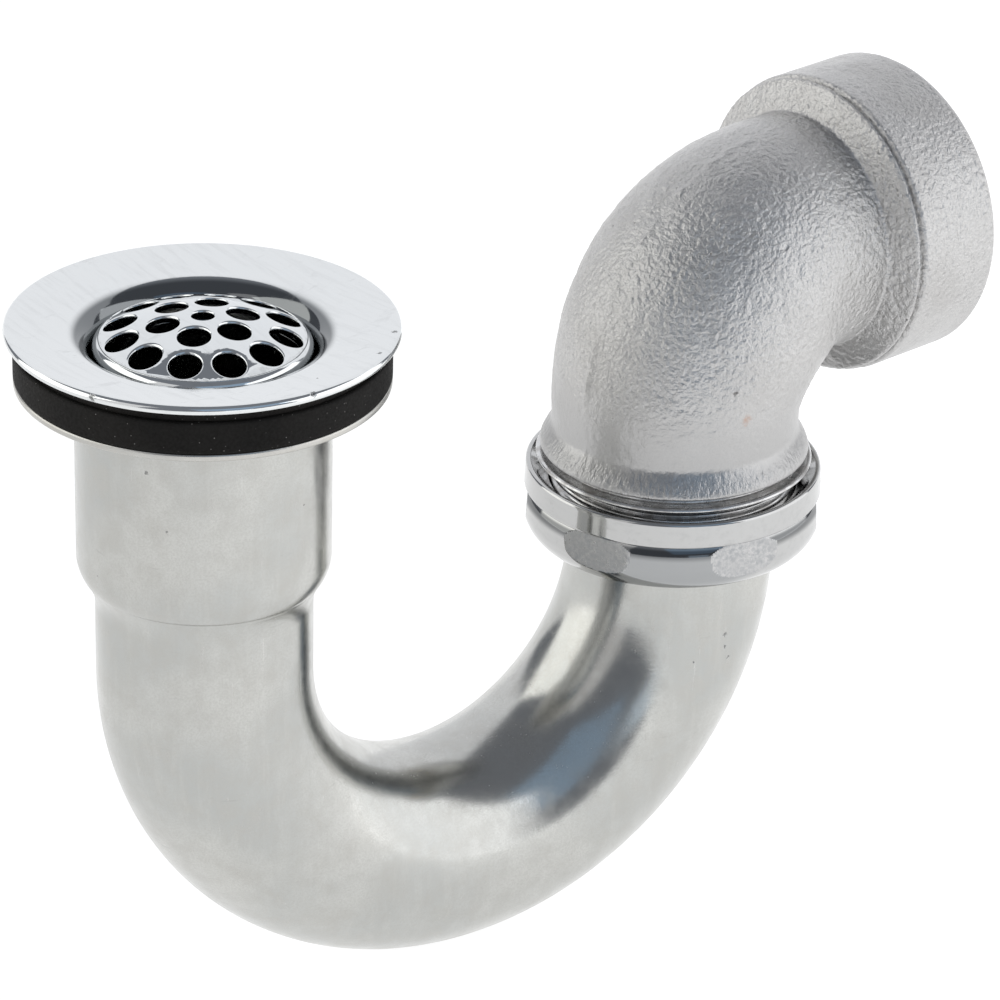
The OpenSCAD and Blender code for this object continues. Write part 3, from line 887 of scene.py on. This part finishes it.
def make_elbow():
    """The cast elbow: threaded spigot, sand-cast body, bead, collar and tapped outlet."""
    end = elbow_len
    ring_foot, ring_top, ring_r = 9.6, 10.4, 25.3
    neck_r, flare_r = 22.5, 24.6
    swell_foot, swell_len = 14, 49
    neck_end = end - 22.2
    collar_back = end - 19.2
    spigot = [(0, socket_r + 1.9), (0, slip_crest_r - 0.5), (0.5, slip_crest_r),
              (ring_foot, slip_crest_r), (ring_foot, ring_r - 0.2), (ring_foot + 0.2, ring_r),
              (ring_top - 0.3, ring_r), (ring_top, ring_r - 0.4), (ring_top, slip_crest_r),
              (cast_foot, slip_crest_r), (cast_foot, flare_r - 0.3), (cast_foot + 0.25, flare_r)]
    body = []
    for along in np.arange(cast_foot + 0.6, neck_end - 0.7, 0.6):
        swell = math.sin(math.pi * max(along - swell_foot, 0) / swell_len) ** 2
        flare = (flare_r - neck_r) * (1 - smoothstep(along, cast_foot + 0.2, cast_foot + 5.2))
        body.append((along, neck_r + 1.1 * swell + flare - 0.4 * smoothstep(along, 45, 63)))
    bead = [(neck_end - 0.35, 22.1), (neck_end - 0.05, 22.3), (neck_end + 0.15, 22.7),
            (neck_end + 2.1, 27.15), (neck_end + 2.35, 27.5), (neck_end + 2.6, 27.6),
            (collar_back - 0.2, 27.5), (collar_back - 0.05, 27.1), (collar_back + 0.15, 26.8),
            (collar_back + 0.45, 26.9), (collar_back + 0.65, 27.5), (collar_back + 1.0, 27.95),
            (collar_back + 1.4, collar_r)]
    rim = [(end - 1.5 + 1.5 * math.sin(a), collar_r - 1.5 * (1 - math.cos(a)))
           for a in np.linspace(0, math.pi / 2, 8)]
    inside = [(end, outlet_bore_r + 1.9), (end - 1.4, outlet_bore_r + 0.6),
              (end - outlet_bore_len, outlet_bore_r), (end - outlet_bore_len - 0.05, passage_r + 0.4),
              (end - outlet_bore_len - 0.6, passage_r), (20.2, passage_r), (20.1, passage_r + 0.3),
              (20.0, socket_r), (1.9, socket_r)]
    outline = finer(np.array(spigot + body + bead + rim + inside), 0.36)

    def shape(along, radius, theta):
        threaded = (along < ring_foot - 0.1) & (radius > slip_crest_r - 0.4)
        slip = thread(along, theta, slip_pitch, 0.0, ring_foot - 0.1)
        tapped = (along > end - outlet_bore_len) & (radius < outlet_bore_r + 0.65)
        pipe = thread(along, theta, slip_pitch, end - outlet_bore_len, end)
        return radius - threaded * slip_groove * slip + tapped * 1.1 * pipe

    around = 400

    def pick(along, radius, theta):
        tapped = (radius < outlet_bore_r + 2) & (along > end - outlet_bore_len - 0.5)
        return (along < cast_foot - 0.02) | tapped

    piece = sweep("cast_elbow_body", outline, leg_place, [cast_elbow, turned_metal], elbow_path,
                  around, shape, pick)
    roughen_casting(piece, outline, around, neck_r, end)
    return belong(piece, "elbow", "wall_elbow")


def roughen_casting(piece, outline, around, neck_r, end):
    """Moves the outside skin in and out: sand grain, lumps and the mould's parting line. It
    never goes past the collar's radius, so that the elbow stays inside its CAD box."""
    grain_size, grain_height = 1.15, 0.12
    lump_size, lump_height = 6.0, 0.10
    mesh = piece.data
    count = len(mesh.vertices)
    co = np.zeros(count * 3)
    mesh.vertices.foreach_get("co", co)
    co = co.reshape(-1, 3) / MM
    normal = np.zeros(count * 3)
    mesh.vertices.foreach_get("normal", normal)
    normal = normal.reshape(-1, 3)
    along = np.repeat(outline[:, 0], around)
    radius = np.repeat(outline[:, 1], around)
    theta = np.tile(np.arange(around) * 2 * math.pi / around, len(outline))
    on_body = along < end - 23
    skin = (radius > 21.9) & (along > cast_foot) & (on_body | (radius > 22.6))
    fade = skin * smoothstep(along, cast_foot, cast_foot + 1.5)
    fade *= 1 - smoothstep(along, end - 2, end)
    where = np.nonzero(fade > 0)[0]
    grain = np.zeros(count)
    grain[where] = rough_noise(co[where], grain_size, 2)
    lumps = np.zeros(count)
    lumps[where] = rough_noise(co[where], lump_size, 2, 5.0)
    coarse = 0.35 + 0.65 * smoothstep(along, cast_foot + 8, cast_foot + 22)
    parting = np.minimum(np.abs(np.mod(theta + 1, 2 * math.pi) - 1), np.abs(theta - math.pi))
    ridge = np.exp(-(parting * neck_r / 0.7) ** 2) * (0.12 + 0.3 * lumps) * on_body
    push = fade * (grain_height * coarse * grain + lump_height * lumps + ridge)
    co += normal * np.minimum(push, collar_r - radius)[:, None]
    mesh.vertices.foreach_set("co", (co * MM).ravel())
    mesh.update()


make_trap()
make_collar()
make_ring("basin_gasket_ring", "basin_gasket", "trap", gasket_rubber,
          outer_r("basin_gasket"), 22.9, 0.45)
make_seal()
make_ring("friction_ring_sheet", "friction_ring", "nut_carrier", brass_ring,
          slip_crest_r, tube_r + 0.25, 0.2)
make_flange()
make_grid()
make_nut()
make_washer()
make_elbow()

# ---- Studio, in metres and degrees ----

view_azimuth = math.radians(-42.08)
view_elevation = math.radians(26.55)
view_roll = math.radians(1.32)
view_distance = 0.9349
view_lens = 187.11
view_target = Vector((-0.09047, 0.00567, -0.03659))
view_heading = math.degrees(view_azimuth) + 90


def make_floor():
    """A pale floor that glows a little more towards the right of the view."""
    size = 3.0
    top = low_z("trap_bend") * MM - 0.0005
    mesh = bpy.data.meshes.new("floor")
    mesh.from_pydata([(-size, -size, top), (size, -size, top), (size, size, top),
                      (-size, size, top)], [], [(0, 1, 2, 3)])
    floor = bpy.data.objects.new("floor", mesh)
    bpy.context.scene.collection.objects.link(floor)
    n = Nodes("pale_floor")
    tone = n.mix(n.noise(30, 2), grey(0.33), grey(0.36))
    turned = n.add("ShaderNodeVectorRotate", {"Vector": n.place, "Angle": -view_azimuth},
                   rotation_type="Z_AXIS")
    to_right = n.add("ShaderNodeSeparateXYZ", {"Vector": turned.outputs[0]}).outputs["X"]
    glow = n.spread(to_right, -0.55, 0.35, 0.72, 0.98)
    n.set(base_color=tone, roughness=0.9, emission_color=grey(1.0), emission_strength=glow)
    mesh.materials.append(n.material)


def soft_box(name, side, height, radiance, tint=(1, 1, 1), distance=1.5):
    """A flat soft light that fills an angle range seen from the trap, in degrees: side runs
    from straight behind the trap towards the left, and height from the floor upwards."""
    azimuth = math.radians(view_heading + sum(side) / 2)
    elevation = math.radians(sum(height) / 2)
    way = Vector((math.cos(elevation) * math.cos(azimuth),
                  math.cos(elevation) * math.sin(azimuth), math.sin(elevation)))
    light = bpy.data.lights.new(name, "AREA")
    light.shape = "RECTANGLE"
    light.size = 2 * distance * math.tan(math.radians((side[1] - side[0]) / 2))
    light.size_y = 2 * distance * math.tan(math.radians((height[1] - height[0]) / 2))
    light.energy = math.pi * light.size * light.size_y * radiance
    light.color = tint
    lamp = bpy.data.objects.new(name, light)
    lamp.location = view_target + way * distance
    lamp.rotation_euler = way.to_track_quat("Z", "Y").to_euler()
    lamp.visible_camera = False
    bpy.context.scene.collection.objects.link(lamp)


def make_world():
    """A dim, slightly blue room behind the soft lights."""
    world = bpy.data.worlds.new("studio")
    bpy.context.scene.world = world
    world.use_nodes = True
    background = world.node_tree.nodes["Background"]
    background.inputs["Color"].default_value = (0.93, 0.985, 1.10, 1)
    background.inputs["Strength"].default_value = 0.215


def make_camera():
    """The photo's camera, rolled a little, aimed at the middle of the trap."""
    camera_data = bpy.data.cameras.new("camera")
    camera_data.lens = view_lens
    camera_data.sensor_width = 36
    camera = bpy.data.objects.new("camera", camera_data)
    ahead = Vector((-math.sin(view_azimuth) * math.cos(view_elevation),
                    math.cos(view_azimuth) * math.cos(view_elevation),
                    -math.sin(view_elevation)))
    right = Vector((math.cos(view_azimuth), math.sin(view_azimuth), 0))
    up = right.cross(ahead)
    x = right * math.cos(view_roll) + up * math.sin(view_roll)
    y = up * math.cos(view_roll) - right * math.sin(view_roll)
    turn = Matrix((x, y, -ahead)).transposed()
    camera.matrix_world = (Matrix.Translation(view_target - ahead * view_distance)
                           @ turn.to_4x4())
    bpy.context.scene.collection.objects.link(camera)
    bpy.context.scene.camera = camera


make_floor()
make_world()
make_camera()
soft_box("back_screen", (-46, 42), (-10, 61), 0.76, (1.0, 1.0, 1.01))
soft_box("left_box", (63, 120), (-6, 48), 1.42, (1.01, 1.0, 0.95))
soft_box("left_fade", (123, 148), (-2, 50), 0.55, (1.03, 1.0, 0.97))
soft_box("right_box", (-127, -60), (-6, 44), 1.28)
soft_box("room_window", (-178, -132), (16, 52), 0.235, (0.4, 0.75, 1.15))
soft_box("window_sill", (-167, -152), (-3, 9), 0.5, (0.8, 0.98, 1.15))

scene = bpy.context.scene
scene.view_settings.view_transform = "Standard"
